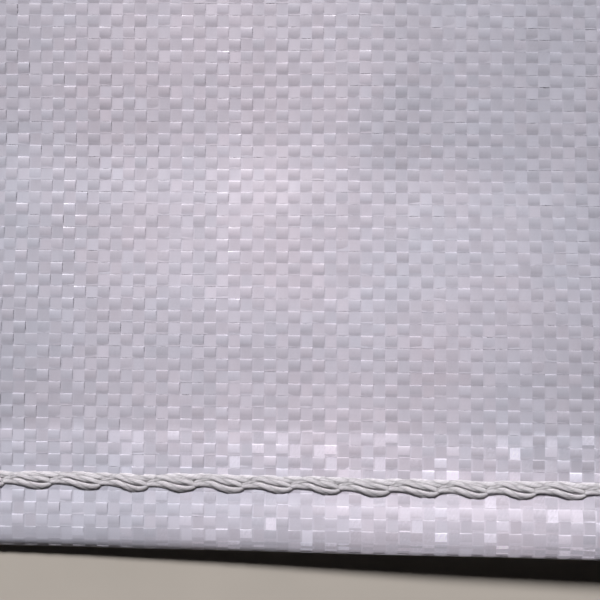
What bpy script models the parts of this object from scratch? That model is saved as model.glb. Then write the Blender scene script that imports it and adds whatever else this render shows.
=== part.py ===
"""Cement bag: an empty sewn sack of woven plastic tape, lying flat on a level floor.

Units are metres. +X runs across the bag, +Y along it from the sewn bottom edge to the
open mouth, and +Z is up. The origin is on the floor, under the middle of the bag.

The bag is one circular-woven tube. Its lower end is folded under once, and one chain
seam, sewn with one thread, closes it through all four layers.
"""
import math

import bmesh
import bpy

# The woven tube, laid flat
BAG_WIDTH = 0.500             # side crease to side crease
BAG_LENGTH = 0.750            # folded bottom edge to mouth
FABRIC = 0.0003               # one layer of woven tape
LAYER_GAP = 0.0004            # air left between the two faces where they lie together
SLACK = 0.0012                # extra height of the upper face along the middle of the bag
SLACK_RUN = 0.120             # length over which that slack builds up, from the seam
MOUTH_GAPE = 0.022            # height to which the stiff upper face stands up at the mouth
GAPE_CURVE = 1.6              # 1 opens like a wedge, more keeps the bag flat for longer

# The folded hem
SEAM_INSET = 0.0132           # fold edge to the seam's middle
FLAP_PAST_SEAM = 0.0118       # seam's middle to the cut edge of the flap underneath
BED_MARGIN = 0.0006           # pressed fabric that shows on each side of the chain
SEAL_LENGTH = 0.0012          # past the pressed strip, where the faces are still held together
FOLD_THICKNESS = 0.0033       # roll of fabric at the fold
FOLD_SAG = 0.0006             # how far that roll hangs below the pressed strip
HEM_RUNOUT = 0.045            # length over which the lower face comes down to the floor
HEM_WAVE = 0.0020             # height of the slow wave along the hem
HEM_WAVE_LENGTH = 0.360       # crest to crest
HEM_WAVE_CREST = 0.090        # where one crest lies, across the bag

# The chain seam
STITCH_PITCH = 0.010          # needle hole to needle hole
YARN = 0.0011                 # the thread where it runs straight, under the hem
NEEDLE_LEG = 0.0010           # the thread where it is squeezed through the fabric
CHAIN_WIDTH = 0.0033          # widest part of a loop on the upper face
CHAIN_HEIGHT = 0.0018         # highest part of a loop
LOOP_NECK = 0.0021            # width of a loop where it leaves its needle hole
LOOP_NECK_HEIGHT = 0.0012     # height of a loop there
CHAIN_TAIL = 0.008            # chain left past each side crease
CLEARANCE = 0.0003            # thread to fabric, all round

# Mesh divisions
STATIONS = 20                 # strips across the bag
LENGTH_ROWS = 6               # strips along the upper face, past the hem
RUNOUT_ROWS = 4               # strips along the runout
FOLD_FACETS = 6               # facets round the fold
CHAIN_SIDES = 8
THREAD_SIDES = 6

FLAP = SEAM_INSET + FLAP_PAST_SEAM
BED_HALF = CHAIN_WIDTH / 2 + BED_MARGIN
BED_START = SEAM_INSET - BED_HALF
BED_END = SEAM_INSET + BED_HALF
HOLLOW_END = BED_END + SEAL_LENGTH
STACK = 4 * FABRIC
FOLD_EDGE_Y = -BAG_LENGTH / 2
SEAM_Y = FOLD_EDGE_Y + SEAM_INSET
STITCHES = int(BAG_WIDTH / STITCH_PITCH + 1e-6)
NEEDLE_HOLE = NEEDLE_LEG + 2 * CLEARANCE


def ease(share):
    """Go smoothly from 0 to 1."""
    share = min(max(share, 0.0), 1.0)
    return share * share * (3 - 2 * share)


def hem_lift(x):
    """Height that the slow wave adds to the hem."""
    turn = 2 * math.pi * (x - HEM_WAVE_CREST) / HEM_WAVE_LENGTH
    return HEM_WAVE * (0.5 + 0.5 * math.cos(turn))


def seam_underside(x):
    """Height of the hem's pressed underside, with room for the thread below it."""
    return YARN + 2 * CLEARANCE + hem_lift(x)


def seam_top(x):
    return seam_underside(x) + STACK


def lower_face(x, along):
    """Underside of the lower face. along is measured from the fold edge."""
    over_flap = seam_underside(x) + 2 * FABRIC
    return over_flap * (1 - ease((along - FLAP) / HEM_RUNOUT))


def upper_face(x, along):
    """Top of the upper face, past the pressed strip."""
    arch = max(0.0, 1 - (2 * x / BAG_WIDTH) ** 2)
    slack = SLACK * ease((along - HOLLOW_END) / SLACK_RUN)
    opening = max(0.0, along - FLAP) / (BAG_LENGTH - FLAP)
    gape = MOUTH_GAPE * opening ** GAPE_CURVE
    return lower_face(x, along) + 2 * FABRIC + LAYER_GAP + (slack + gape) * arch


def open_rows():
    """Distances from the fold edge to each row of points past the flap's cut edge."""
    runout = [FLAP + HEM_RUNOUT * row / RUNOUT_ROWS for row in range(RUNOUT_ROWS + 1)]
    start = FLAP + HEM_RUNOUT
    step = (BAG_LENGTH - start) / LENGTH_ROWS
    return runout + [start + step * row for row in range(1, LENGTH_ROWS + 1)]


def fold_points(x):
    """The roll of the fold, from its underside round the edge to its top."""
    radius = FOLD_THICKNESS / 2
    underside = seam_underside(x) - FOLD_SAG
    crown = (radius + BED_START) / 2
    points = [(crown, underside)]
    for step in range(FOLD_FACETS + 1):
        turn = math.pi * step / FOLD_FACETS
        points.append((radius * (1 - math.sin(turn)),
                       underside + radius * (1 - math.cos(turn))))
    points.append((crown, underside + FOLD_THICKNESS))
    return points


def outer_profile(x):
    """Outside of the bag from the mouth, under the bag, round the fold and back on top.

    The flap's cut edge leans, because its outer layer goes the longer way round the fold.
    """
    points = [(along, lower_face(x, along)) for along in reversed(open_rows())]
    points += [(FLAP - 2 * FABRIC, seam_underside(x)), (BED_START, seam_underside(x))]
    points += fold_points(x)
    points += [(BED_START, seam_top(x)), (BED_END, seam_top(x))]
    points += [(along, upper_face(x, along)) for along in [HOLLOW_END] + open_rows()]
    return points


def inner_profile(x):
    """Inside of the bag from the mouth to the seam and back."""
    rows = [HOLLOW_END] + open_rows()
    points = [(along, lower_face(x, along) + FABRIC) for along in reversed(rows)]
    points += [(along, upper_face(x, along) - FABRIC) for along in rows]
    return points


def new_object(name, mesh_builder, material=None):
    """Make an object from a bmesh with its faces turned outward."""
    bmesh.ops.recalc_face_normals(mesh_builder, faces=mesh_builder.faces)
    mesh = bpy.data.meshes.new(name)
    mesh_builder.to_mesh(mesh)
    mesh_builder.free()
    if material:
        mesh.materials.append(material)
    made = bpy.data.objects.new(name, mesh)
    bpy.context.collection.objects.link(made)
    return made


def new_material(name, colour, roughness):
    material = bpy.data.materials.new(name)
    material.use_nodes = True
    shader = material.node_tree.nodes["Principled BSDF"]
    shader.inputs["Base Color"].default_value = (*colour, 1.0)
    shader.inputs["Roughness"].default_value = roughness
    shader.inputs["Metallic"].default_value = 0.0
    return material


def add_side(builder, row, pairs):
    """Close one side crease: its first points face its last ones, the hem lies between."""
    for low in range(pairs - 1):
        high = len(row) - 1 - low
        builder.faces.new((row[low], row[low + 1], row[high - 1], row[high]))
    hem = row[pairs - 1:len(row) - pairs + 1]
    if len(hem) > 2:
        builder.faces.new(hem)


def add_skin(builder, profile, stations, pairs):
    """Sweep a profile across the bag and close both of its sides. Returns its rows."""
    rows = []
    for x in stations:
        rows.append([builder.verts.new((x, FOLD_EDGE_Y + along, z)) for along, z in profile(x)])
    for left, right in zip(rows, rows[1:]):
        for index in range(len(left) - 1):
            builder.faces.new((left[index], left[index + 1], right[index + 1], right[index]))
    add_side(builder, rows[0], pairs)
    add_side(builder, rows[-1], pairs)
    return rows


def build_bag_body(material):
    """The woven tube: an outer and an inner skin, joined round the mouth."""
    half = BAG_WIDTH / 2
    outer_x = [-half + BAG_WIDTH * step / STATIONS for step in range(STATIONS + 1)]
    inner_x = [-half + FABRIC] + outer_x[1:-1] + [half - FABRIC]
    builder = bmesh.new()
    open_pairs = len(open_rows())
    outer = add_skin(builder, outer_profile, outer_x, open_pairs)
    inner = add_skin(builder, inner_profile, inner_x, open_pairs + 1)
    outer_rim = [row[0] for row in outer] + [row[-1] for row in reversed(outer)]
    inner_rim = [row[0] for row in inner] + [row[-1] for row in reversed(inner)]
    for index in range(len(outer_rim)):
        after = (index + 1) % len(outer_rim)
        builder.faces.new((outer_rim[index], outer_rim[after], inner_rim[after],
                           inner_rim[index]))
    bmesh.ops.triangulate(builder, faces=builder.faces[:])
    return new_object("woven_bag_body", builder, material)


def needle_places():
    """Where the needle went through, across the bag."""
    first = -STITCH_PITCH * (STITCHES - 1) / 2
    return [first + STITCH_PITCH * index for index in range(STITCHES)]


def add_tube(builder, rings):
    """Skin a row of rings, each a list of points, and cap both ends."""
    rows = [[builder.verts.new(point) for point in ring] for ring in rings]
    for before, after in zip(rows, rows[1:]):
        for index in range(len(before)):
            following = (index + 1) % len(before)
            builder.faces.new((before[index], before[following], after[following],
                               after[index]))
    builder.faces.new(rows[0])
    builder.faces.new(rows[-1][::-1])


def side_ring(x, z, width, height, sides):
    """A ring that stands across the seam, with a flat side down."""
    corners = 1 / math.cos(math.pi / sides)
    points = []
    for index in range(sides):
        turn = 2 * math.pi * (index + 0.5) / sides
        points.append((x, SEAM_Y + width / 2 * corners * math.sin(turn),
                       z + height / 2 * corners * math.cos(turn)))
    return points


def flat_ring(x, z, diameter, sides):
    """A ring that lies flat round a needle's place."""
    points = []
    for index in range(sides):
        turn = 2 * math.pi * index / sides
        points.append((x + diameter / 2 * math.cos(turn), SEAM_Y + diameter / 2 * math.sin(turn), z))
    return points


def build_chain(material):
    """The loops on the upper face. Each widens from its own needle hole to the next."""
    end = BAG_WIDTH / 2 + CHAIN_TAIL
    neck = (LOOP_NECK, LOOP_NECK_HEIGHT)
    middle = ((LOOP_NECK + CHAIN_WIDTH) / 2, (LOOP_NECK_HEIGHT + CHAIN_HEIGHT) / 2)
    head = (CHAIN_WIDTH, CHAIN_HEIGHT)
    shapes = [(-end, *neck)]
    for place in needle_places() + [BAG_WIDTH / 2 + STITCH_PITCH / 2]:
        for share, (width, height) in ((-0.55, middle), (-0.10, head), (0.12, neck)):
            shapes.append((place + share * STITCH_PITCH, width, height))
    shapes = [shape for shape in shapes if abs(shape[0]) < end - YARN]
    shapes = [(-end, *neck)] + shapes + [(end, *neck)]
    rings = []
    for x, width, height in shapes:
        rings.append(side_ring(x, seam_top(x) + CLEARANCE + height / 2, width, height,
                               CHAIN_SIDES))
    builder = bmesh.new()
    add_tube(builder, rings)
    return new_object("bottom_seam_thread", builder, material)


def build_under_thread():
    """The straight run of thread below the hem, from the first hole to the last."""
    places = needle_places()
    places = [places[0] - YARN] + places[1:-1] + [places[-1] + YARN]
    rings = []
    for x in places:
        z = seam_underside(x) - CLEARANCE - YARN / 2
        rings.append(side_ring(x, z, YARN, YARN, THREAD_SIDES))
    builder = bmesh.new()
    add_tube(builder, rings)
    return new_object("under_thread", builder)


def build_posts(name, diameter, below, above):
    """One upright post at each needle hole, between two heights that follow the hem."""
    builder = bmesh.new()
    for x in needle_places():
        add_tube(builder, [flat_ring(x, below(x), diameter, THREAD_SIDES),
                           flat_ring(x, above(x), diameter, THREAD_SIDES)])
    return new_object(name, builder)


def make_guide(thing, parent):
    """Keep a cutter or a helper shape in the file, drawn as wire only."""
    thing.hide_render = True
    thing.display_type = "WIRE"
    thing.parent = parent


def add_boolean(target, operation, other):
    step = target.modifiers.new(other.name, "BOOLEAN")
    step.operation = operation
    step.solver = "EXACT"
    step.object = other


def build_bag():
    for thing in list(bpy.data.objects):
        bpy.data.objects.remove(thing, do_unlink=True)

    fabric = new_material("white_woven_polypropylene", (0.62, 0.60, 0.66), 0.42)
    yarn = new_material("white_sewing_yarn", (0.74, 0.73, 0.77), 0.85)

    bag = bpy.data.objects.new("cement_bag", None)
    bpy.context.collection.objects.link(bag)

    body = build_bag_body(fabric)
    body.parent = bag
    thread = build_chain(yarn)
    thread.parent = bag

    holes = build_posts("needle_holes", NEEDLE_HOLE,
                        lambda x: seam_underside(x) - CLEARANCE,
                        lambda x: seam_top(x) + CLEARANCE)
    legs = build_posts("needle_legs", NEEDLE_LEG,
                       lambda x: seam_underside(x) - CLEARANCE - YARN / 2,
                       lambda x: seam_top(x) + CLEARANCE + LOOP_NECK_HEIGHT / 2)
    under = build_under_thread()
    for guide in (holes, legs, under):
        make_guide(guide, bag)

    add_boolean(body, "DIFFERENCE", holes)
    add_boolean(thread, "UNION", legs)
    add_boolean(thread, "UNION", under)
    for piece in (body, thread):
        piece.data.shade_smooth()
        piece.data.set_sharp_from_angle(angle=math.radians(35))


build_bag()
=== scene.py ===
"""Looks of the empty cement bag: woven plastic tapes, a folded hem and a chain-stitched seam.

Metres throughout. +X runs across the bag, +Y from the sewn bottom edge to the open mouth,
+Z is up. "along" always means the distance from the folded bottom edge towards the mouth.
"""
import math

import bmesh
import bpy
from mathutils import Matrix, Vector, noise


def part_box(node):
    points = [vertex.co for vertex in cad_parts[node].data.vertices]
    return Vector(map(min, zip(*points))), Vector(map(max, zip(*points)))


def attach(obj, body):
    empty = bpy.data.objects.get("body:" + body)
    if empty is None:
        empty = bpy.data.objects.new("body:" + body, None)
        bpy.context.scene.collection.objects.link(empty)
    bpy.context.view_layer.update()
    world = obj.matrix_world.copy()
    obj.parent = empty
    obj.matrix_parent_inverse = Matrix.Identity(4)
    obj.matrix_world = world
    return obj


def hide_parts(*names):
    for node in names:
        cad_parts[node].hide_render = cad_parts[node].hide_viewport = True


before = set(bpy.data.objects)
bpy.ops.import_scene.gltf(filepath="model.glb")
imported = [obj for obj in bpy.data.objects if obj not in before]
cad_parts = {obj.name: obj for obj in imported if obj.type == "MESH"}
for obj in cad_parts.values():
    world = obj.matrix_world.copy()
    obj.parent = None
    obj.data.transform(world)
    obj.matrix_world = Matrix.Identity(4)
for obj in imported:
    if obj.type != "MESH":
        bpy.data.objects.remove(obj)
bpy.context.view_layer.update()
MM = 0.001

# Sizes that come from the frame
bag_low, bag_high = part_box("woven_bag_body")
BAG_WIDTH = bag_high[0] - bag_low[0]
BAG_LENGTH = bag_high[1] - bag_low[1]
FOLD_EDGE_Y = bag_low[1]

# The folded hem and the slack sheet, close to the solids
FABRIC = 0.0003               # one layer of woven tape
LAYER_GAP = 0.0004            # air between the two faces where they lie together
SLACK = 0.0012                # extra height of the upper face along the bag's middle
SLACK_RUN = 0.120             # length over which that slack builds up
MOUTH_GAPE = 0.022
GAPE_CURVE = 1.6              # more than 1 keeps the bag flat for longer
SEAM_INSET = 0.0132           # fold edge to the seam's middle
FLAP = 0.0250                 # how far the end is folded under
BED_HALF = 0.00225            # half the strip that the chain presses down
SEAL = 0.0012                 # past that strip, where the faces still hold together
UNDER_ROOM = 0.0017           # floor to the hem's pressed underside
HEM_RUNOUT = 0.045            # length over which the lower face comes down to the floor
LIFT_RUNOUT = 0.140           # length over which the hem's wave dies out
HEM_WAVE = 0.0043             # the hem stands off the floor in a slow wave this high
HEM_WAVE_LENGTH = 0.360
HEM_WAVE_CREST = 0.090        # where one crest lies, across the bag
BED_START = SEAM_INSET - BED_HALF
BED_END = SEAM_INSET + BED_HALF
HOLLOW_END = BED_END + SEAL
CUT_EDGE = FLAP - 2 * FABRIC
SEAM_Y = FOLD_EDGE_Y + SEAM_INSET

# Low rolls of the slack sheet beside the hem: distance from the fold, height
ROLLS = ((0.025, 0.0), (0.034, 0.00035), (0.043, 0.0008), (0.054, 0.00100), (0.066, 0.00085),
         (0.074, 0.00030), (0.081, -0.00015), (0.090, 0.00005), (0.102, 0.00035),
         (0.120, 0.00050), (0.160, 0.00020), (0.200, 0.0))
ROLL_SKEW = 0.05              # they run a little askew across the bag
DRIFTS = ((1.0, 0.0012), (2.3, 0.0008), (5.1, 0.00035))   # how fine, how high
CALM_SIDE = 0.060             # the sheet grows calm this close to a side crease
CALM_HEM = (0.020, 0.030)     # no unevenness up to here, and its run-in

# The fold: a tight crease at the edge, and a long slope up to its crown
FOLD_CREASE = 0.0005          # radius
FOLD_SLOPE = math.radians(25.0)
FOLD_REACH = 0.0070           # from the edge to the crown
FOLD_BEND = 2.6               # the higher, the sooner the slope levels off
FOLD_SAG_LOW = 0.0009         # where the hem lies on the floor
FOLD_SAG_HIGH = 0.0002        # where it stands off the floor
FOLD_STRETCH = 0.00015        # the edge lies this far outside the solid's
FOLD_WANDER = 0.00012         # and strays this far from straight
FOLD_WANDER_END = 0.012       # the cloth lies straight again this far from the fold

# From the fold's crown down to the chain's bed: distance from the fold, share of the way
BED_SLOPE = ((FOLD_REACH, 0.0), (0.0078, 0.0), (0.0092, 0.28), (0.0109, 0.93),
             (SEAM_INSET, 1.0))
BED_RISE = (0.0180, 0.40)     # and up again behind the chain
BED_TILT = 0.00002            # the bed's far side is this much higher
FLAP_BLEND = 0.0025           # the hem meets the sheet this far to both sides of the flap
PUCKER = 0.00014              # how deep a loop dents the hem
PUCKER_PLACE = 0.8            # where along the stitch that is
PUCKER_SHIFT = 0.0006         # from the seam's middle towards the fold
PUCKER_REACH = 0.0030

# The sheet's rounded side creases
CREASE_RADIUS = 0.0008
CREASE_SHARES = (0.0, 0.08, 0.3, 0.62)    # columns in the rounding, from the crease inwards

# Rows and columns of the sheet
FIRST_ROW = 0.0009            # past the rounding of the fold
HEM_STEP = 0.0007             # between rows, from there to the chain
CHAIN_FRONT = 0.0020          # finer rows start this far before the chain's bed
CHAIN_STEP = 0.0005
CHAIN_BACK = 0.0004           # and end this far behind it
FLAP_STEP = 0.0012            # from there to the flap's cut edge
NEAR_END = 0.165              # coarser rows start here
GUIDE_ROWS = (5, 0.0025, 0.008)           # round the fold, and steps near it and further up
CLOTH_ROWS = (3, 0.006, 0.016)
CLOTH_COLUMN = 0.010

# The weave
TAPE_PITCH = 0.0025           # 40 tapes in 100 mm, both ways
TAPE_WIDTH = 0.00246
TAPE_WANDER = 0.0001
WARP = {"Bow": 0.000120,      # how far a tape stands over the middle of the cloth
        "Roundness": 4.0,     # of that bow
        "Peak": 0.80,         # its highest place, 1 being the float's end at the mouth
        "Ramp": 0.00005,      # how far a float starts below its other end
        "Cup": 0.00002,       # how far its edges curl up over its middle
        "Tilt": 0.06,         # how far a tape leans, as a slope
        "Crossing Tilt": 0.09,
        "Seed": 11}
WEFT = {"Bow": 0.00003, "Roundness": 2.2, "Peak": 0.0, "Ramp": 0.0, "Cup": 0.00002,
        "Tilt": 0.15, "Crossing Tilt": 0.11, "Seed": 23}
CLOTH_DROP = 0.00022          # the closed cloth lies this far under the tapes' middle
CLOTH_RUN_IN = 0.001          # and reaches that within this length of the fold
CLOTH_NARROWER = 0.0006       # so that the tapes cover its side creases
CLOTH_WALL = 0.0002
INSIDE_NARROWER = 0.0014
SWELL_LEAST = 0.40            # share of the bow that every crossing has
SWELL_CROSSING = 0.75         # what chance adds to it at each crossing
SWELL_TAPE = 0.45             # and along each tape
FINE_CROSSINGS = 61           # counted from the flap's cut edge, round the fold
FOLD_CALM = (0.0015, 0.009)   # from the fold, where the weave lies flat, to where it bows
WARP_SKEW = 0.018             # near the seam the cloth is folded a little askew
WEFT_SKEW = 0.008
SKEW_MIDDLE = 0.085           # along the cloth, from the flap's cut edge
SKEW_REACH = 0.07             # it grows this far to both sides of that
SKEW_FADE = (0.20, 0.50)      # along the cloth, from full skew to none
SKEW_SIDES = (0.160, 0.248)   # from the bag's middle, from full skew to none

# The seam
STITCH_PITCH = 0.010
STITCHES = 51
FIRST_NEEDLE_X = -0.2565
CHAIN_SHIFT = 0.00057         # from the middle of its bed towards the mouth
PLIES = 3
TIGHT_YARN = (0.00092, 0.00015)           # width of a ply, and how far it lies off centre
LOOSE_YARN = (0.00114, 0.00019)
FLAT_YARN = (0.00128, 0.00022)            # pressed flat, in the chain's outer strands
YARN = TIGHT_YARN[0] + 2 * TIGHT_YARN[1]
YARN_STEP = 0.0008
YARN_UNEVENNESS = 0.0004
SEAM_WANDER = 0.00010         # the seam strays this far from straight
STITCH_DRIFT = 0.0016         # no two stitches are quite as long or as wide
PLY_TWIST = 0.013             # yarn length for one turn of the plies
CHAIN_CROWN = 83.0            # the chain's top falls off to both sides, per metre
UNDER_PULL = 0.0004           # the straight thread is drawn this far up into a needle hole
UNDER_BEND = 0.0012           # and lies flat again this far from it


# Shape of the bag

def mix(first, second, share):
    return first + (second - first) * share


def ease(share):
    share = min(max(share, 0.0), 1.0)
    return share * share * (3 - 2 * share)


def run_of(start, stop, step):
    """Even places from start to just before stop."""
    count = max(1, round((stop - start) / step))
    return [mix(start, stop, index / count) for index in range(count)]


def hem_lift(x):
    turn = 2 * math.pi * (x - HEM_WAVE_CREST) / HEM_WAVE_LENGTH
    return HEM_WAVE * (0.5 + 0.5 * math.cos(turn))


def seam_underside(x):
    return UNDER_ROOM + hem_lift(x)


def seam_top(x):
    return seam_underside(x) + 4 * FABRIC


def fold_low(x):
    """Height of the fold's lowest line, which hangs below the stitching."""
    share = hem_lift(x) / HEM_WAVE
    return seam_underside(x) - mix(FOLD_SAG_LOW, FOLD_SAG_HIGH, share)


def fold_height(along):
    """From the fold's lowest line to its upper side."""
    turn = FOLD_CREASE * (1 - math.sin(FOLD_SLOPE))
    if along <= turn:
        return FOLD_CREASE + math.sqrt(FOLD_CREASE ** 2 - (FOLD_CREASE - along) ** 2)
    left = FOLD_REACH - turn
    rise = math.tan(FOLD_SLOPE) * left / FOLD_BEND
    climbed = 1 - ((FOLD_REACH - along) / left) ** FOLD_BEND
    return FOLD_CREASE * (1 + math.cos(FOLD_SLOPE)) + rise * climbed


def lower_face(x, along):
    raised = (UNDER_ROOM + 2 * FABRIC) * (1 - ease((along - FLAP) / HEM_RUNOUT))
    return raised + hem_lift(x) * (1 - ease((along - FLAP) / LIFT_RUNOUT))


def slow_waves(x, along):
    """Gentle unevenness of a sheet that has been folded, stacked and handled."""
    spread = along + ROLL_SKEW * x
    roll = smooth_height(ROLLS, spread) if ROLLS[0][0] < spread < ROLLS[-1][0] else 0.0
    spot = Vector((x * 11.0, along * 9.0, 2.7))
    drift = sum(height * noise.noise(spot * fineness) for fineness, height in DRIFTS)
    off_side = ease((BAG_WIDTH / 2 - abs(x)) / CALM_SIDE)
    start, run_in = CALM_HEM
    return (roll + drift) * ease((along - start) / run_in) * off_side


def upper_face(x, along):
    arch = max(0.0, 1 - (2 * x / BAG_WIDTH) ** 2)
    slack = SLACK * ease((along - HOLLOW_END) / SLACK_RUN)
    opening = max(0.0, along - FLAP) / (BAG_LENGTH - FLAP)
    gape = MOUTH_GAPE * opening ** GAPE_CURVE
    level = lower_face(x, along) + 2 * FABRIC + LAYER_GAP + (slack + gape) * arch
    return level + slow_waves(x, along)


def puckers(x, along):
    """Each loop dents the hem where it swings out, and the hem swells between the loops."""
    turn = 2 * math.pi * ((x - FIRST_NEEDLE_X) / STITCH_PITCH - PUCKER_PLACE)
    reach = math.exp(-((along - SEAM_INSET + PUCKER_SHIFT) / PUCKER_REACH) ** 2)
    return -PUCKER * math.cos(turn) * reach


def smooth_height(knots, along):
    """Height on a smooth line through knots of (along, height)."""
    def slope(index):
        low, high = knots[max(index - 1, 0)], knots[min(index + 1, len(knots) - 1)]
        return (high[1] - low[1]) / (high[0] - low[0])

    spot = 0
    while spot < len(knots) - 2 and along > knots[spot + 1][0]:
        spot += 1
    (start, low), (stop, high) = knots[spot], knots[spot + 1]
    step = stop - start
    t = (along - start) / step
    bend = (t ** 3 - 2 * t * t + t) * slope(spot) + (t ** 3 - t * t) * slope(spot + 1)
    return mix(low, high, ease(t)) + bend * step


def top_face(x, along):
    low = fold_low(x)
    if along <= FOLD_REACH:
        return low + fold_height(along)
    if along >= FLAP:
        return upper_face(x, along)
    high, bed = low + fold_height(FOLD_REACH), seam_top(x)
    behind, share = BED_RISE
    knots = [(place, mix(high, bed, down)) for place, down in BED_SLOPE]
    knots += [(BED_END, bed + BED_TILT), (behind, mix(bed, upper_face(x, behind), share))]
    knots += [(place, upper_face(x, place))
              for place in (FLAP - FLAP_BLEND, FLAP, FLAP + FLAP_BLEND)]
    return smooth_height(knots, along) + puckers(x, along)


def under_face(x, along):
    under, low = seam_underside(x), fold_low(x)
    if along <= FOLD_CREASE:
        return low + FOLD_CREASE - math.sqrt(FOLD_CREASE ** 2 - (FOLD_CREASE - along) ** 2)
    if along >= FLAP:
        return lower_face(x, along)
    if along > CUT_EDGE:
        return mix(under, lower_face(x, FLAP), (along - CUT_EDGE) / (FLAP - CUT_EDGE))
    knots = [(FOLD_CREASE, low), (BED_START / 2, low), (BED_START, under), (BED_END, under),
             (CUT_EDGE, under)]
    return smooth_height(knots, along)


def place_y(x, along):
    """The fold's edge strays a little from straight, the cloth behind it less and less."""
    stray = FOLD_WANDER * noise.noise(Vector((x * 40.0, 5.0, 1.0))) - FOLD_STRETCH
    return FOLD_EDGE_Y + along + stray * (1 - ease(along / FOLD_WANDER_END))


def places_along(round_steps, near_step, far_step):
    """Rows from the fold to the mouth: close together where the hem bends."""
    rows = [FOLD_CREASE * (1 - math.cos(math.pi / 2 * index / round_steps))
            for index in range(round_steps + 1)]
    front, back = BED_START - CHAIN_FRONT, BED_END + CHAIN_BACK
    rows += run_of(FIRST_ROW, front, HEM_STEP) + run_of(front, back, CHAIN_STEP)
    rows += run_of(back, CUT_EDGE, FLAP_STEP) + [CUT_EDGE] + run_of(FLAP, NEAR_END, near_step)
    return rows + run_of(NEAR_END, BAG_LENGTH, far_step) + [BAG_LENGTH]


def places_across(step):
    """Columns from side crease to side crease, close together at the creases."""
    half = BAG_WIDTH / 2
    crease = [half - CREASE_RADIUS * share for share in CREASE_SHARES]
    middle = run_of(-half + CREASE_RADIUS, half - CREASE_RADIUS, step)
    return [-x for x in crease] + middle + [half - CREASE_RADIUS] + crease[::-1]


def thickness_left(x):
    """Share of its thickness that the bag keeps, this close to a side crease."""
    past = (abs(x) - (BAG_WIDTH / 2 - CREASE_RADIUS)) / CREASE_RADIUS
    return 1.0 if past <= 0 else math.sqrt(max(0.0, 1 - past * past))


def crease_in(x, top, under):
    """Heights of both faces, drawn together at the side creases."""
    middle, keep = (top + under) / 2, thickness_left(x)
    return middle + (top - middle) * keep, middle + (under - middle) * keep


def mesh_of(builder, name):
    mesh = bpy.data.meshes.new(name)
    builder.to_mesh(mesh)
    builder.free()
    return mesh


def add_object(name, data):
    made = bpy.data.objects.new(name, data)
    bpy.context.scene.collection.objects.link(made)
    return made


def tape_guide():
    """The outer side from the flap's cut edge, round the fold, to the mouth.

    Its map runs 0 to 1 across the bag, and 0 to 1 along the cloth. Returns the sheet and
    the cloth's length from cut edge to mouth.
    """
    builder = bmesh.new()
    chart = builder.loops.layers.uv.new("UVMap")
    shares = {}
    grid, lengths = [], []
    for x in places_across(TAPE_PITCH):
        rows = places_along(*GUIDE_ROWS)
        faces = [crease_in(x, top_face(x, along), under_face(x, along)) for along in rows]
        line = [(along, pair[1]) for along, pair in zip(rows, faces) if along <= CUT_EDGE]
        line = line[:0:-1] + [(along, pair[0]) for along, pair in zip(rows, faces)]
        run = [0.0]
        for before, after in zip(line, line[1:]):
            run.append(run[-1] + math.dist(before, after))
        lengths.append(run[-1])
        column = []
        for (along, z), length in zip(line, run):
            vert = builder.verts.new((x, place_y(x, along), z))
            shares[vert] = (x / BAG_WIDTH + 0.5, length / run[-1])
            column.append(vert)
        grid.append(column)
    for left, right in zip(grid, grid[1:]):
        for index in range(len(left) - 1):
            face = builder.faces.new((left[index], right[index], right[index + 1],
                                      left[index + 1]))
            face.smooth = True
            for loop in face.loops:
                loop[chart].uv = shares[loop.vert]
    guide = add_object("tape_guide", mesh_of(builder, "tape_guide"))
    return guide, lengths[len(lengths) // 2]


def add_face(builder, turned, *corners):
    """A face through those corners that differ, if they are more than two."""
    corners = list(dict.fromkeys(corners))
    if len(corners) > 2:
        builder.faces.new(corners[::-1] if turned else corners)


def add_pocket(builder, width_share, first_along, top_at, under_at, inward):
    """One skin of the tube: top and under grids that meet at the end and the side creases.

    Returns the skin's points at the mouth, top ones and under ones.
    """
    tops, unders = [], []
    for x in places_across(CLOTH_COLUMN):
        rows = [along for along in places_along(*CLOTH_ROWS) if along >= first_along]
        at_side = abs(x) > BAG_WIDTH / 2 - 1e-6
        top, under = [], []
        for index, along in enumerate(rows):
            high, low = crease_in(x, top_at(x, along), under_at(x, along))
            spot = builder.verts.new((x * width_share, place_y(x, along), high))
            top.append(spot)
            if at_side or (index == 0 and high - low < 1e-6):
                under.append(spot)
            else:
                under.append(builder.verts.new((x * width_share, place_y(x, along), low)))
        tops.append(top)
        unders.append(under)
    for grid, turned in ((tops, inward), (unders, not inward)):
        for left, right in zip(grid, grid[1:]):
            for index in range(len(left) - 1):
                add_face(builder, turned, left[index], right[index], right[index + 1],
                         left[index + 1])
    for index in range(len(tops) - 1):
        add_face(builder, inward, tops[index][0], unders[index][0], unders[index + 1][0],
                 tops[index + 1][0])
    return [line[-1] for line in tops], [line[-1] for line in unders]


def bag_cloth():
    """The closed cloth of the tube, under the tapes on its upper side and hem."""
    def cloth_top(x, along):
        return top_face(x, along) - CLOTH_DROP * min(1.0, along / CLOTH_RUN_IN)

    def cloth_under(x, along):
        in_hem = CLOTH_DROP if along <= CUT_EDGE else 0.0
        return under_face(x, along) + in_hem * min(1.0, along / CLOTH_RUN_IN)

    builder = bmesh.new()
    outer = add_pocket(builder, 1 - CLOTH_NARROWER / BAG_WIDTH, 0.0, cloth_top, cloth_under,
                       False)
    inner = add_pocket(builder, 1 - INSIDE_NARROWER / BAG_WIDTH, HOLLOW_END,
                       lambda x, along: cloth_top(x, along) - CLOTH_WALL,
                       lambda x, along: under_face(x, along) + FABRIC, True)
    for outside, inside, turned in zip(outer, inner, (False, True)):
        for index in range(len(outside) - 1):
            add_face(builder, turned, outside[index], outside[index + 1],
                     inside[index + 1], inside[index])
    for face in builder.faces:
        face.smooth = True
    return add_object("bag_cloth", mesh_of(builder, "bag_cloth"))


# Nodes

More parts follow.
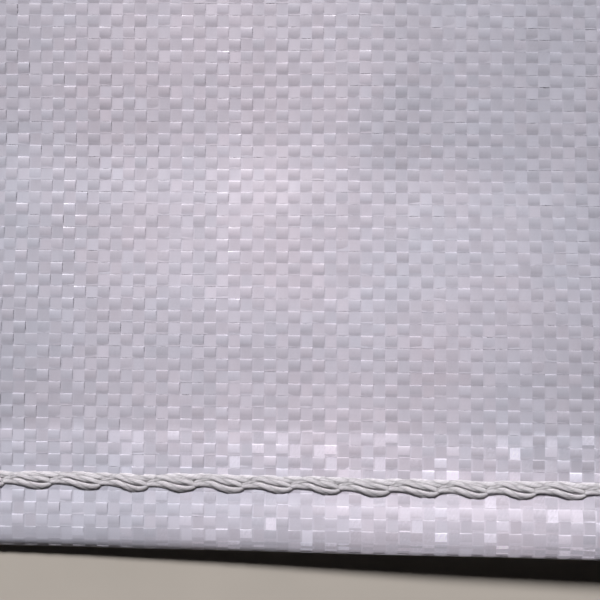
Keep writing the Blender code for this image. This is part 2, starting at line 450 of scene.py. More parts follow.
class Nodes:
    """A short way to write a node tree: each call adds a node or a few."""

    def __init__(self, tree):
        self.tree = tree

    def put(self, value, socket):
        if isinstance(value, bpy.types.NodeSocket):
            self.tree.links.new(value, socket)
        elif value is not None:
            socket.default_value = value

    def node(self, kind, inputs=None, **settings):
        made = self.tree.nodes.new(kind)
        for key, value in settings.items():
            setattr(made, key, value)
        for key, value in (inputs or {}).items():
            self.put(value, made.inputs[key])
        return made

    def first(self, kind, inputs=None, **settings):
        return self.node(kind, inputs, **settings).outputs[0]

    def math(self, operation, first, second=None, third=None):
        made = self.node("ShaderNodeMath", operation=operation)
        for socket, value in zip(made.inputs, (first, second, third)):
            self.put(value, socket)
        return made.outputs[0]

    def times(self, first, second):
        return self.math("MULTIPLY", first, second)

    def plus(self, first, second):
        return self.math("ADD", first, second)

    def minus(self, first, second):
        return self.math("SUBTRACT", first, second)

    def times_plus(self, first, second, third):
        return self.math("MULTIPLY_ADD", first, second, third)

    def vector_math(self, operation, first, second=None):
        made = self.node("ShaderNodeVectorMath", operation=operation)
        self.put(first, made.inputs[0])
        self.put(second, made.inputs[1])
        return made.outputs[0]

    def scaled(self, vector, factor):
        made = self.node("ShaderNodeVectorMath", operation="SCALE")
        self.put(vector, made.inputs["Vector"])
        self.put(factor, made.inputs["Scale"])
        return made.outputs[0]

    def join(self, x, y, z):
        return self.first("ShaderNodeCombineXYZ", {"X": x, "Y": y, "Z": z})

    def split(self, vector):
        return self.node("ShaderNodeSeparateXYZ", {"Vector": vector}).outputs

    def fade(self, value, start, stop, low, high, smooth=True):
        """From low to high while value goes from start to stop, and level outside them."""
        return self.first("ShaderNodeMapRange",
                          {"Value": value, "From Min": start, "From Max": stop,
                           "To Min": low, "To Max": high},
                          interpolation_type="SMOOTHSTEP" if smooth else "LINEAR")

    def dice(self, first, second, third):
        """A random Value and a random Color for each three numbers."""
        spot = self.join(first, second, third)
        return self.node("ShaderNodeTexWhiteNoise", {"Vector": spot}).outputs

    def noise(self, vector, scale=1.0, detail=1.0):
        """Smooth noise: one value, and three in a Color."""
        return self.node("ShaderNodeTexNoise",
                         {"Vector": vector, "Scale": scale, "Detail": detail}).outputs

    def wobble(self, vector, scale=1.0, detail=1.0):
        """Smooth noise, mostly from -0.5 to 0.5."""
        return self.minus(self.noise(vector, scale, detail)[0], 0.5)

    def stray(self, vector, scale, reach):
        """A smooth random shift, mostly up to half of reach each way."""
        shift = self.noise(vector, scale)["Color"]
        return self.scaled(self.vector_math("SUBTRACT", shift, (0.5, 0.5, 0.5)), reach)


class Finish(Nodes):
    """A material, and its tree."""

    def __init__(self, name):
        self.material = bpy.data.materials.new(name)
        self.material.use_nodes = True
        super().__init__(self.material.node_tree)
        self.shader = self.tree.nodes["Principled BSDF"]

    def has(self, name, value):
        self.put(value, self.shader.inputs[name])

    def place(self):
        return self.node("ShaderNodeTexCoord").outputs["Object"]

    def attribute(self, name):
        return self.node("ShaderNodeAttribute", attribute_name=name).outputs["Fac"]

    def bump(self, height, strength, distance):
        self.has("Normal", self.first("ShaderNodeBump", {
            "Height": height, "Strength": strength, "Distance": distance}))


class Steps(Nodes):
    """A Geometry Nodes tree with named inputs, used on one object and then taken off."""

    def __init__(self, name):
        super().__init__(bpy.data.node_groups.new(name, "GeometryNodeTree"))
        self.source = self.tree.nodes.new("NodeGroupInput")
        self.result = self.tree.nodes.new("NodeGroupOutput")

    def asks(self, name, kind="Float"):
        self.tree.interface.new_socket(name, in_out="INPUT", socket_type=f"NodeSocket{kind}")
        return self.source.outputs[name]

    def gives(self, geometry, finish):
        """The tree's result: the geometry in its finish."""
        self.tree.interface.new_socket("Geometry", in_out="OUTPUT",
                                       socket_type="NodeSocketGeometry")
        finished = self.first("GeometryNodeSetMaterial",
                              {"Geometry": geometry, "Material": finish})
        self.put(finished, self.result.inputs["Geometry"])

    def marks(self, geometry, name, value, domain, kind="FLOAT"):
        """The same geometry, with a value stored on it under a name."""
        return self.first("GeometryNodeStoreNamedAttribute",
                          {"Geometry": geometry, "Name": name, "Value": value},
                          data_type=kind, domain=domain)

    def reads(self, name, kind="FLOAT"):
        made = self.node("GeometryNodeInputNamedAttribute", {"Name": name}, data_type=kind)
        return made.outputs["Attribute"]

    def run_on(self, thing, values):
        """The result as a plain mesh, with the tree's inputs set by name."""
        step = thing.modifiers.new(self.tree.name, "NODES")
        step.node_group = self.tree
        keys = {item.name: item.identifier for item in self.tree.interface.items_tree
                if item.item_type == "SOCKET" and item.in_out == "INPUT"}
        for name, value in values.items():
            step[keys[name]] = value
        evaluated = thing.evaluated_get(bpy.context.evaluated_depsgraph_get())
        mesh = bpy.data.meshes.new_from_object(evaluated)
        thing.modifiers.remove(step)
        return mesh


def weave_steps():
    """Tapes that go over and under each other, bent to a sheet that is given by its map."""
    s = Steps("woven_tapes")
    sheet = s.asks("Sheet", "Geometry")
    sheet_width = s.asks("Sheet Width")
    sheet_length = s.asks("Sheet Length")
    upright = s.asks("Tapes Run Along", "Bool")
    tapes = s.asks("Tapes", "Int")
    first_tape = s.asks("First Tape", "Int")
    crossings = s.asks("Crossings", "Int")
    first_crossing = s.asks("First Crossing", "Int")
    bends = s.asks("Bends per Crossing", "Int")
    strips = s.asks("Strips Across", "Int")
    side_pitch = s.asks("Tape Pitch")
    run_pitch = s.asks("Crossing Pitch")
    width = s.asks("Tape Width")
    bow_height = s.asks("Bow")
    cup = s.asks("Cup")
    roundness = s.asks("Roundness")
    peak = s.asks("Peak")
    ramp = s.asks("Ramp")
    fold_place = s.asks("Fold Place")
    tilt = s.asks("Tilt")
    cell_tilt = s.asks("Crossing Tilt")
    wander = s.asks("Wander")
    warp_skew = s.asks("Warp Skew")
    weft_skew = s.asks("Weft Skew")
    skew_middle = s.asks("Skew Middle")
    seed = s.asks("Seed", "Int")
    finish = s.asks("Finish", "Material")

    run = s.times(crossings, run_pitch)
    strip = s.first("GeometryNodeMeshGrid", {
        "Size X": width, "Size Y": run,
        "Vertices X": s.plus(strips, 1),
        "Vertices Y": s.plus(s.times(crossings, bends), 1)})
    places = s.first("GeometryNodeMeshLine", {"Count": tapes, "Offset": (0.0, 0.0, 0.0)})
    copies = s.first("GeometryNodeInstanceOnPoints", {"Points": places, "Instance": strip})
    number = s.plus(s.first("GeometryNodeInputIndex"), first_tape)
    numbered = s.marks(copies, "tape", number, "INSTANCE")
    plain = s.first("GeometryNodeRealizeInstances", {"Geometry": numbered})

    # where a point is along its tape, and how the tape bows over or under the other one
    tape = s.reads("tape")
    flat = s.split(s.first("GeometryNodeInputPosition"))
    side = flat["X"]
    begin = s.times(s.times_plus(crossings, 0.5, first_crossing), run_pitch)
    way = s.plus(flat["Y"], begin)
    turn = s.math("DIVIDE", way, run_pitch)
    crossing = s.math("FLOOR", s.minus(turn, 0.001))   # a point between two is the first's
    within = s.minus(turn, crossing)
    signed = s.times_plus(within, 2.0, -1.0)
    count = s.plus(s.plus(tape, crossing), upright)
    over = s.times_plus(s.math("FLOORED_MODULO", count, 2.0), 2.0, -1.0)
    off_peak = s.math("MINIMUM", s.math("ABSOLUTE", signed), 1.0)
    off_peak = s.math("POWER", off_peak, 0.5)
    bow = s.minus(1.0, s.math("POWER", off_peak, roundness))
    top = s.times(peak, over)
    half = s.minus(1.0, s.times(s.math("SIGN", signed), top))
    spread = s.times(s.math("SIGN", signed), off_peak)
    spread = s.times_plus(spread, half, top)
    way = s.times(s.times_plus(spread, 0.5, s.plus(crossing, 0.5)), run_pitch)
    dropping = s.math("GREATER_THAN", s.times(signed, top), 0.001)

    # each tape wanders and leans, and each crossing swells, a little differently
    course = s.join(s.times(way, 45.0), s.times(tape, 7.31), seed)
    quick_course = s.vector_math("MULTIPLY", course, (3.4, 1.0, 2.3))
    drift = s.times(s.wobble(course), wander)
    lean = s.times(s.wobble(quick_course), tilt)
    chance = s.dice(tape, crossing, seed)
    swell = s.times_plus(chance["Value"], SWELL_CROSSING, SWELL_LEAST)
    swell = s.times_plus(s.dice(tape, 0.5, seed)["Value"], SWELL_TAPE, swell)
    nudge = s.minus(s.split(chance["Color"])["Y"], 0.5)
    nudge = s.times(s.times(nudge, bow), cell_tilt)
    share = s.math("DIVIDE", side, s.times(width, 0.5))
    curl = s.times(s.times(share, share), cup)
    rise = s.times(s.times(bow, over), s.times(s.plus(bow_height, curl), swell))
    rise = s.times_plus(side, s.plus(lean, nudge), rise)
    to_peak = s.times_plus(s.times(over, spread), 0.5, -0.5)
    rise = s.times_plus(to_peak, ramp, rise)
    sideways = s.times(s.plus(tape, 0.5), side_pitch)
    sideways = s.plus(s.plus(sideways, side), drift)

    # the same place on the sheet, where both sets of tapes run askew near the seam
    u, v = [s.first("GeometryNodeSwitch", {"Switch": upright, "False": weft, "True": warp},
                    input_type="FLOAT")
            for weft, warp in ((way, sideways), (sideways, way))]
    from_fold = s.math("ABSOLUTE", s.minus(v, fold_place))
    rise = s.times(rise, s.fade(from_fold, *FOLD_CALM, 0.0, 1.0))
    off_centre = s.times_plus(sheet_width, -0.5, u)
    off_side = s.fade(s.math("ABSOLUTE", off_centre), *SKEW_SIDES, 1.0, 0.0)
    past = s.minus(v, skew_middle)
    past = s.math("MINIMUM", s.math("MAXIMUM", past, -SKEW_REACH), SKEW_REACH)
    askew = s.times(off_side, s.fade(v, *SKEW_FADE, 1.0, 0.0))
    shift = s.times(s.times(past, warp_skew), askew)
    hem_free = s.fade(v, 0.0, FLAP, 0.0, 1.0)
    climb = s.times(s.times(off_centre, weft_skew), s.times(hem_free, askew))
    u, v = s.minus(u, shift), s.plus(v, climb)
    shares = [s.first("ShaderNodeClamp", {"Value": s.math("DIVIDE", value, size),
                                          "Min": 0.00002, "Max": 0.99998})
              for value, size in ((u, sheet_width), (v, sheet_length))]
    spot = s.join(shares[0], shares[1], 0.0)
    chart = s.reads("UVMap", "FLOAT_VECTOR")
    place, outward = [
        s.node("GeometryNodeSampleUVSurface",
               {"Mesh": sheet, "Value": s.first(kind), "UV Map": chart,
                "Sample UV": spot}, data_type="FLOAT_VECTOR").outputs["Value"]
        for kind in ("GeometryNodeInputPosition", "GeometryNodeInputNormal")]
    outward = s.vector_math("NORMALIZE", outward)
    target = s.vector_math("ADD", place, s.scaled(outward, rise))

    # what the finish reads: metres along and across the tape, and the crossing's number
    marked = s.marks(plain, "UVMap", s.join(way, side, 0.0), "CORNER", "FLOAT2")
    marked = s.marks(marked, "crossing", crossing, "POINT")
    marked = s.marks(marked, "dropping", dropping, "FACE")
    bent = s.first("GeometryNodeSetPosition", {"Geometry": marked, "Position": target})
    turned = s.first("GeometryNodeFlipFaces", {"Mesh": bent, "Selection": s.minus(1, upright)})
    rounded = s.math("LESS_THAN", s.reads("dropping"), 0.5)
    smooth = s.first("GeometryNodeSetShadeSmooth",
                     {"Geometry": turned, "Shade Smooth": rounded})
    s.gives(smooth, finish)
    return s


def seam_steps():
    """A yarn of twisted plies along a path, repeated for each stitch of the seam."""
    s = Steps("chain_stitches")
    path = s.asks("Stitch Path", "Geometry")
    stitches = s.asks("Stitches", "Int")
    pitch = s.asks("Stitch Pitch")
    start = s.asks("First Stitch", "Vector")
    plies = s.asks("Plies", "Int")
    ply_radius = s.asks("Ply Radius")
    offset = s.asks("Ply Offset")
    twist = s.asks("Twist Length")
    step = s.asks("Step Length")
    sides = s.asks("Ply Sides", "Int")
    lift = s.asks("Hem Lift")
    lift_length = s.asks("Hem Lift Length")
    lift_crest = s.asks("Hem Lift Crest")
    wander = s.asks("Seam Wander")
    unevenness = s.asks("Unevenness")
    drift = s.asks("Stitch Drift")
    pressed = s.asks("Pressed")
    crown = s.asks("Crown")
    seed = s.asks("Seed", "Int")
    finish = s.asks("Finish", "Material")

    line = s.first("GeometryNodeMeshToCurve", {"Mesh": path})
    line = s.first("GeometryNodeResampleCurve", {"Curve": line, "Length": step}, mode="LENGTH")
    copies = s.node("GeometryNodeDuplicateElements", {"Geometry": line, "Amount": plies},
                    domain="SPLINE")
    numbered = s.marks(copies.outputs["Geometry"], "ply", copies.outputs["Duplicate Index"],
                       "CURVE")
    length = s.node("GeometryNodeSplineParameter").outputs["Length"]
    measured = s.marks(numbered, "run", length, "POINT")
    turn = s.plus(s.math("DIVIDE", length, twist), s.math("DIVIDE", s.reads("ply"), plies))
    angle = s.times(turn, 2 * math.pi)
    across = s.first("GeometryNodeInputNormal")
    upward = s.vector_math("CROSS_PRODUCT", s.first("GeometryNodeInputTangent"), across)
    shift = s.vector_math("ADD", s.scaled(across, s.math("COSINE", angle)),
                          s.scaled(upward, s.math("SINE", angle)))
    twisted = s.first("GeometryNodeSetPosition",
                      {"Geometry": measured, "Offset": s.scaled(shift, offset)})
    ring = s.first("GeometryNodeCurvePrimitiveCircle",
                   {"Resolution": sides, "Radius": ply_radius})
    around = s.node("GeometryNodeSplineParameter").outputs["Factor"]
    ring = s.marks(ring, "around", around, "POINT")
    yarn = s.first("GeometryNodeCurveToMesh",
                   {"Curve": twisted, "Profile Curve": ring, "Fill Caps": True})
    holes = s.first("GeometryNodeMeshLine", {"Count": stitches, "Start Location": start,
                                             "Offset": s.join(pitch, 0.0, 0.0)})
    stitched = s.first("GeometryNodeInstanceOnPoints", {"Points": holes, "Instance": yarn})
    plain = s.first("GeometryNodeRealizeInstances", {"Geometry": stitched})

    # the seam follows the hem's lift, and no two stitches are quite alike
    here = s.first("GeometryNodeInputPosition")
    phase = s.math("DIVIDE", s.minus(s.split(here)["X"], lift_crest), lift_length)
    wave = s.math("COSINE", s.times(phase, 2 * math.pi))
    rise = s.times(s.times_plus(wave, 0.5, 0.5), lift)
    spot = s.vector_math("ADD", here, s.join(s.times(seed, 1.7), 0.0, 0.0))
    slow = s.stray(s.join(s.split(here)["X"], 0.0, 0.0), 55.0, drift)
    slow = s.vector_math("MULTIPLY", slow, (1.0, 0.5, 0.0))
    stray = s.vector_math("ADD", s.stray(spot, 210.0, unevenness), slow)
    above = s.minus(s.split(here)["Z"], s.split(start)["Z"])
    sink = s.times(above, s.minus(pressed, 1.0))
    aside = s.minus(s.split(here)["Y"], s.split(start)["Y"])
    rounded = s.times(s.times(aside, aside), crown)
    rise = s.minus(s.plus(rise, sink), rounded)
    course = s.join(0.0, s.times(wave, wander), rise)
    settled = s.first("GeometryNodeSetPosition",
                      {"Geometry": plain, "Offset": s.vector_math("ADD", stray, course)})
    s.gives(s.first("GeometryNodeSetShadeSmooth", {"Geometry": settled}), finish)
    return s


# Finishes

COOL_WHITE = (0.577, 0.572, 0.646, 1.0)
WARM_WHITE = (0.620, 0.562, 0.625, 1.0)
CLOTH_WHITE = (0.60, 0.575, 0.645)
YARN_WHITE = (0.715, 0.678, 0.704)
FLOOR_COLOUR = (0.45, 0.41, 0.355)
CROSSING_SHADE = 0.16         # what chance adds to a crossing's shade
LINE_SHADE = 0.08             # and the fine drawn lines to a tape's
FLAP_BLUR = 0.0012            # half the soft edge of the paler strip over the flap
FLAP_SHADE = (0.23, 0.93)     # what that strip adds, and the shade beyond it
LANE_SHADE = (0.10, 0.935)    # the same of the painted light lanes, to both sides of their middle
LANE_WIDTH = 0.160            # from one painted light lane to the next
LANE_WANDER = 0.02
LANE_STEP = (FOLD_EDGE_Y + 0.013, FOLD_EDGE_Y + 0.025)    # the lanes step sideways here
STEP_ASIDE = (0.022, -0.005)                              # from this far to this far
LANE_SLANT = (FOLD_EDGE_Y + 0.045, FOLD_EDGE_Y + 0.090)   # and slant back here
SLANT_ASIDE = (0.0, 0.018)
# painted highlights: across this span the hem's white glint crossings grow from few to many
GLINTS_RIGHTWARD = (-0.060, 0.060)
# painted shade: the yarn is drawn darker from here towards the fold, where the strands above
# shade it
PAINTED_SHADE_SIDE = (SEAM_Y - 0.0008, SEAM_Y + 0.0004)


def over_flap(f, here):
    """1 where the cloth lies on the folded flap, so less of the dark under it shows."""
    edge = FOLD_EDGE_Y + FLAP
    return f.fade(here["Y"], edge + FLAP_BLUR, edge - FLAP_BLUR, 0.0, 1.0, smooth=False)


def painted_glint_crossings(f, lot, here, backed):
    """Painted highlights: a few crossings of the hem are drawn white, standing in for glints,
    more of them to the right.
    """
    rightward = f.fade(here["X"], *GLINTS_RIGHTWARD, 0.05, 1.10, smooth=False)
    rare = f.minus(f.math("POWER", lot, 7.0), 0.16)
    return f.times(rare, f.times(backed, rightward))


def painted_light_lanes(f, place, here):
    """From -1 to 1: painted light, lanes drawn paler in their middle and darker to their
    sides, standing in for the light falling off across the sheet.
    """
    step = f.fade(here["Y"], *LANE_STEP, *STEP_ASIDE)
    slant = f.fade(here["Y"], *LANE_SLANT, *SLANT_ASIDE, smooth=False)
    beside = f.plus(f.minus(here["X"], step), slant)
    beside = f.times_plus(f.wobble(place, 14.0), LANE_WANDER, beside)
    return f.math("COSINE", f.times(beside, 2 * math.pi / LANE_WIDTH))


def tape_finish(name, paleness_and_sheen, spread):
    """Milky drawn plastic tape: fine lines along it, and a gloss that differs a little."""
    f = Finish(name)
    f.has("IOR", 1.5)
    place = f.place()
    here = f.split(place)
    tape = f.attribute("tape")
    tone = f.dice(tape, 3.0, 0.0)["Value"]
    cell = f.dice(tape, f.attribute("crossing"), 5.0)
    lots = f.split(cell["Color"])
    chart = f.first("ShaderNodeUVMap", uv_map="UVMap")
    fine = f.vector_math("MULTIPLY", chart, (60.0, 9000.0, 1.0))
    fine = f.vector_math("ADD", fine, f.join(0.0, 0.0, f.times(tape, 3.7)))
    lines = f.noise(fine, 1.0, 2.0)[0]

    # how pale the tape, the crossing and the line are, with painted glints on some crossings
    # and painted light lanes across the sheet
    backed = over_flap(f, here)
    painted_light = painted_light_lanes(f, place, here)
    # the given paleness is set higher for the weft than the warp, a painted sheen
    shade = f.times_plus(tone, spread, paleness_and_sheen)
    shade = f.times_plus(cell["Value"], CROSSING_SHADE, shade)
    shade = f.times_plus(lines, LINE_SHADE, shade)
    shade = f.times(shade, f.times_plus(backed, *FLAP_SHADE))
    shade = f.plus(shade, painted_glint_crossings(f, lots["X"], here, backed))
    shade = f.times(shade, f.times_plus(painted_light, *LANE_SHADE))

    # how warm their white is, a little warmer in the painted light lanes' bright middle
    warmth = f.times_plus(f.wobble(place, 38.0), 1.0, 0.45)
    warmth = f.times_plus(painted_light, 0.3, warmth)
    warmth = f.times_plus(backed, -0.1, warmth)
    warmth = f.times_plus(f.minus(lots["Y"], 0.5), 0.5, warmth)
    hue = f.node("ShaderNodeMix", {"Factor": warmth, "A": COOL_WHITE, "B": WARM_WHITE},
                 data_type="RGBA")
    f.has("Base Color", f.scaled(hue.outputs["Result"], shade))

    # how glossy they are
    gloss = f.times_plus(f.math("POWER", cell["Value"], 4.0), -0.16, 0.52)
    gloss = f.times_plus(f.math("POWER", tone, 7.0), -0.24, gloss)
    f.has("Roughness", f.times_plus(lines, 0.10, gloss))
    f.bump(lines, 0.35, 0.00002)
    return f.material


def cloth_finish():
    """The same weave seen as one sheet, where the bag's underside and inside show it."""
    f = Finish("plain_woven_cloth")
    here = f.split(f.place())
    turns = [f.math("DIVIDE", here[axis], TAPE_PITCH) for axis in ("X", "Y")]
    cells = [f.math("FLOOR", turn) for turn in turns]
    offs = [f.math("ABSOLUTE", f.times_plus(f.math("FRACT", turn), 2.0, -1.0))
            for turn in turns]
    bows = [f.minus(1.0, f.math("POWER", off, 2.5)) for off in offs]
    edges = [f.minus(1.0, f.math("POWER", off, 14.0)) for off in offs]
    warp = f.times(bows[1], edges[0])
    weft = f.times(bows[0], edges[1])
    over = f.math("FLOORED_MODULO", f.plus(cells[0], cells[1]), 2.0)
    height = f.first("ShaderNodeMix", {"Factor": over, "A": warp, "B": weft})
    tone = f.dice(cells[0], cells[1], over)["Value"]
    shade = f.times_plus(tone, 0.10, 0.80)
    # painted shade: where the bump is low, at the tapes' edges and ends, the colour is drawn
    # darker too
    shade = f.times_plus(height, 0.14, shade)
    f.has("Base Color", f.scaled(CLOTH_WHITE, shade))
    f.has("Roughness", f.times_plus(tone, 0.12, 0.34))
    f.bump(height, 0.8, 0.00015)
    return f.material


def yarn_finish():
    """Soft spun yarn: matte, with fine fibres that run round each ply."""
    f = Finish("spun_sewing_yarn")
    f.has("Roughness", 0.9)
    run = f.attribute("run")
    round_ply = f.times(f.attribute("around"), 9.0)
    fibre = f.join(f.times(run, 420.0), f.times_plus(run, 2600.0, round_ply),
                   f.attribute("ply"))
    fibres = f.noise(fibre, 1.0, 3.0)[0]

    # painted shade: the side of the chain that faces the fold, away from the light, is drawn
    # darker for the shade of the strands above it
    painted_shade_share = f.fade(f.split(f.place())["Y"], *PAINTED_SHADE_SIDE, 0.68, 1.0)
    shade = f.times(f.times_plus(fibres, 0.60, 0.63), painted_shade_share)
    f.has("Base Color", f.scaled(YARN_WHITE, shade))
    f.bump(fibres, 0.8, 0.00015)

    # loose fibres pass light on, so the shading is softer than the plies' own roundness
    f.has("Subsurface Weight", 0.6)
    f.has("Subsurface Radius", (1.0, 1.0, 1.0))
    f.has("Subsurface Scale", 0.0004)
    return f.material


def floor_finish():
    """Plain pale floor with the faintest mottling."""
    f = Finish("pale_floor")
    f.has("Roughness", 0.9)
    shade = f.times_plus(f.wobble(f.place(), 60.0, 4.0), 0.12, 1.0)
    f.has("Base Color", f.scaled(FLOOR_COLOUR, shade))
    return f.material


def backdrop_finish():
    f = Finish("pale_backdrop")
    f.has("Base Color", (0.0, 0.0, 0.0, 1.0))
    f.has("Emission Color", (0.66, 0.65, 0.64, 1.0))
    f.has("Emission Strength", 1.0)
    return f.material


# Pieces

def curve_through(points, steps):
    """A smooth line through the points, with a number of steps between each two."""
    line = []
    for index in range(len(points) - 1):
        a, b = points[max(index - 1, 0)], points[index]
        c, d = points[index + 1], points[min(index + 2, len(points) - 1)]
        for step in range(steps):
            t = step / steps
            line.append(0.5 * (2 * b + (c - a) * t + (2 * a - 5 * b + 4 * c - d) * t * t
                               + (3 * b - a - 3 * c + d) * t ** 3))
    return line + [points[-1]]


def path_object(name, points):
    mesh = bpy.data.meshes.new(name)
    mesh.from_pydata(points, [(index, index + 1) for index in range(len(points) - 1)], [])
    return add_object(name, mesh)


def stitch_line(points, steps=5):
    """A smooth path through points given in millimetres from a needle hole."""
    return curve_through([Vector(point) * MM for point in points], steps)


def upper_arm():
    """The loop's arm that lies against the running strand."""
    return stitch_line([(0.2, -0.2, -0.5), (0.9, 0.3, 0.25), (1.8, 0.80, 0.54),
                        (3.0, 1.16, 0.70), (4.3, 1.20, 0.74), (5.6, 0.94, 0.74),
                        (7.2, 0.58, 0.70), (8.8, 0.34, 0.60), (9.8, 0.06, 0.40),
                        (10.3, -0.25, -0.1), (10.4, -0.3, -0.7)])


def lower_arm():
    """The loop's other arm: it swings out to the folded edge and back to the next hole."""
    return stitch_line([(0.2, -0.45, -0.5), (0.9, -0.2, 0.12), (1.8, 0.05, 0.28),
                        (2.9, 0.08, 0.36), (4.2, -0.14, 0.34), (5.7, -0.62, 0.26),
                        (7.3, -1.10, 0.20), (8.6, -1.26, 0.18), (9.4, -1.12, 0.18),
                        (10.0, -0.80, 0.10), (10.3, -0.5, -0.2), (10.4, -0.45, -0.7)])


def running_path():
    """The strand that runs on beside the loops, from end to end."""
    points = []
    for stitch in range(STITCHES):
        for share, across, height in ((0.0, 1.22, 0.66), (0.25, 1.29, 0.74),
                                      (0.60, 1.33, 0.74), (0.85, 1.25, 0.68)):
            points.append(((stitch + share) * STITCH_PITCH / MM, across, height))
    return stitch_line(points, 3)


def under_path():
    """The straight thread between two needle holes, on the hem's underside."""
    low = -YARN / 2
    points = [(0.0, 0.0, UNDER_PULL), (UNDER_BEND, 0.0, low), (STITCH_PITCH / 2, 0.0, low),
              (STITCH_PITCH - UNDER_BEND, 0.0, low), (STITCH_PITCH, 0.0, UNDER_PULL)]
    return curve_through([Vector(point) for point in points], 3)


def join_meshes(name, meshes, finish):
    """One mesh from several, all of it in one finish."""
    builder = bmesh.new()
    for mesh in meshes:
        builder.from_mesh(mesh)
    for face in builder.faces:
        face.material_index = 0
    joined = meshes[0].copy()
    builder.to_mesh(joined)
    builder.free()
    joined.name = name
    joined.materials.clear()
    joined.materials.append(finish)
    return joined


def seam_thread(finish):
    """Both threads of the seam: the chain of loops on top, the straight thread below."""
    steps = seam_steps()
    meshes = []
    on_hem = UNDER_ROOM + 4 * FABRIC
    for name, points, count, z, (ply, offset), pressed in (
            ("upper_arm", upper_arm(), STITCHES, on_hem, LOOSE_YARN, 0.44),
            ("lower_arm", lower_arm(), STITCHES, on_hem, FLAT_YARN, 0.52),
            ("running_path", running_path(), 1, on_hem, FLAT_YARN, 0.36),
            ("under_path", under_path(), STITCHES - 1, UNDER_ROOM, TIGHT_YARN, 0.7)):
        path = path_object(name, points)
        meshes.append(steps.run_on(path, {
            "Stitches": count, "Stitch Pitch": STITCH_PITCH,
            "First Stitch": (FIRST_NEEDLE_X, SEAM_Y + CHAIN_SHIFT, z), "Plies": PLIES,
            "Ply Radius": ply / 2, "Ply Offset": offset, "Twist Length": PLY_TWIST,
            "Step Length": YARN_STEP, "Ply Sides": 8, "Hem Lift": HEM_WAVE,
            "Hem Lift Length": HEM_WAVE_LENGTH, "Hem Lift Crest": HEM_WAVE_CREST,
            "Seam Wander": SEAM_WANDER, "Unevenness": YARN_UNEVENNESS, "Seed": 3,
            "Stitch Drift": STITCH_DRIFT, "Pressed": pressed, "Crown": CHAIN_CROWN,
            "Finish": finish}))
        bpy.data.objects.remove(path)
    mesh = join_meshes("chain_stitched_thread", meshes, finish)
    return add_object("chain_stitched_thread", mesh)


def tape_panels(warp_finish, weft_finish):
    """Warp and weft tapes, finely bent near the seam and more plainly further up."""
    guide, length = tape_guide()
    steps = weave_steps()
    across = round(BAG_WIDTH / TAPE_PITCH)
    rows = round(length / TAPE_PITCH)
    middle = (FINE_CROSSINGS + rows) // 2
    bands = ((0, FINE_CROSSINGS, 4, 2, "near_seam"),
             (FINE_CROSSINGS, middle, 2, 1, "middle"), (middle, rows, 2, 1, "near_mouth"))
    panels = []
    for first, last, bends, strips, place in bands:
        for kind, lie, finish in (("warp", WARP, warp_finish), ("weft", WEFT, weft_finish)):
            upright = kind == "warp"
            mesh = steps.run_on(guide, {
                **lie, "Sheet Width": BAG_WIDTH, "Sheet Length": rows * TAPE_PITCH,
                "Tapes Run Along": upright,
                "Tapes": across if upright else last - first,
                "First Tape": 0 if upright else first,
                "Crossings": last - first if upright else across,
                "First Crossing": first if upright else 0,
                "Bends per Crossing": bends, "Strips Across": strips,
                "Tape Pitch": TAPE_PITCH, "Crossing Pitch": TAPE_PITCH,
                "Tape Width": TAPE_WIDTH, "Wander": TAPE_WANDER, "Fold Place": CUT_EDGE,
                "Warp Skew": WARP_SKEW, "Weft Skew": WEFT_SKEW, "Skew Middle": SKEW_MIDDLE,
                "Finish": finish})
            panels.append(add_object(f"{kind}_tapes_{place}", mesh))
    bpy.data.objects.remove(guide)
    return panels


cloth = bag_cloth()
cloth.data.materials.append(cloth_finish())
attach(cloth, "root")
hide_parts("woven_bag_body")

# painted sheen: the weft tapes are drawn paler than the warp tapes of the same plastic, for
# how the light catches the two directions differently
panels = tape_panels(tape_finish("warp_tape", 0.815, 0.14),
                     tape_finish("weft_tape", 0.870, 0.08))
for panel in panels:
    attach(panel, "root")

thread = seam_thread(yarn_finish())
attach(thread, "root")
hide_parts("bottom_seam_thread")


# Floor, light and camera

BACKDROP_RADIUS = 8.0


def floor():
    builder = bmesh.new()
    bmesh.ops.create_grid(builder, x_segments=1, y_segments=1, size=BACKDROP_RADIUS)
    made = add_object("floor", mesh_of(builder, "floor"))
    made.data.materials.append(floor_finish())


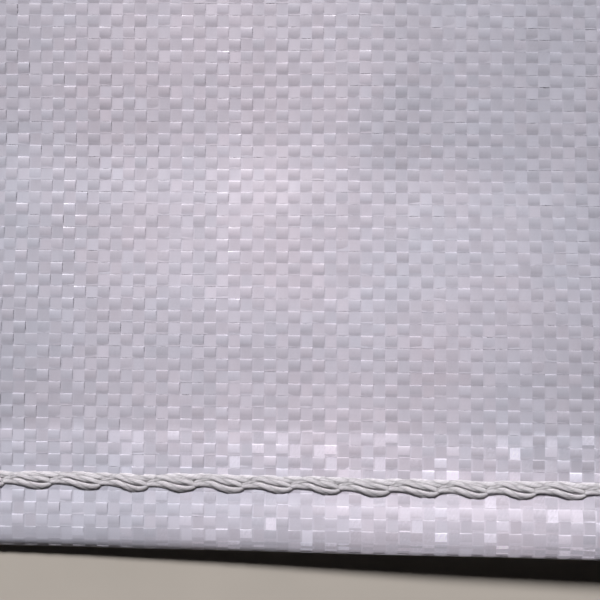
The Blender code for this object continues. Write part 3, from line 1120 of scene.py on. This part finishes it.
def backdrop():
    """A pale wall all round the floor, which the camera sees and the light passes by."""
    builder = bmesh.new()
    bmesh.ops.create_cone(builder, segments=64, radius1=BACKDROP_RADIUS,
                          radius2=BACKDROP_RADIUS, depth=2 * BACKDROP_RADIUS)
    wall = add_object("backdrop", mesh_of(builder, "backdrop"))
    wall.data.materials.append(backdrop_finish())
    wall.visible_diffuse = False
    wall.visible_glossy = False
    wall.visible_shadow = False
    wall.visible_transmission = False


def sun_light(name, azimuth, elevation, spread, strength, colour):
    """Even light over the whole floor. Azimuth 0 is from +Y, positive towards +X."""
    a, e = math.radians(azimuth), math.radians(elevation)
    away = Vector((math.sin(a) * math.cos(e), math.cos(a) * math.cos(e), math.sin(e)))
    data = bpy.data.lights.new(name, "SUN")
    data.angle = math.radians(spread)
    data.energy = strength
    data.color = colour
    lamp = add_object(name, data)
    lamp.location = away * 2.0
    lamp.rotation_euler = away.to_track_quat("Z", "Y").to_euler()


def camera(aim, elevation, roll, distance, lens):
    """Looks down on the seam, from a little towards the sewn end, turned by roll."""
    e, r = math.radians(elevation), math.radians(roll)
    back = Vector((math.sin(r) * math.cos(e), -math.cos(r) * math.cos(e), math.sin(e)))
    right = Vector((math.cos(r), math.sin(r), 0.0))
    up = back.cross(right)
    data = bpy.data.cameras.new("camera")
    data.lens = lens
    data.clip_start = 0.01
    made = add_object("camera", data)
    turned = Matrix((right, up, back)).transposed().to_4x4()
    made.matrix_world = Matrix.Translation(Vector(aim) + back * distance) @ turned
    bpy.context.scene.camera = made


floor()
backdrop()
sun_light("window_light", azimuth=-14.0, elevation=39.0, spread=13.0, strength=4.58,
          colour=(0.985, 0.97, 1.0))
sun_light("room_light", azimuth=195.0, elevation=18.0, spread=60.0, strength=0.03,
          colour=(1.0, 0.98, 0.96))
camera(aim=(-0.0049, FOLD_EDGE_Y + 0.0522, 0.004), elevation=88.0, roll=0.98,
       distance=0.188, lens=54.0)

world = bpy.data.worlds.new("soft_surroundings")
world.use_nodes = True
surroundings = world.node_tree.nodes["Background"]
surroundings.inputs["Color"].default_value = (0.92, 0.93, 1.0, 1.0)
surroundings.inputs["Strength"].default_value = 0.009
bpy.context.scene.world = world
bpy.context.scene.view_settings.view_transform = "Standard"
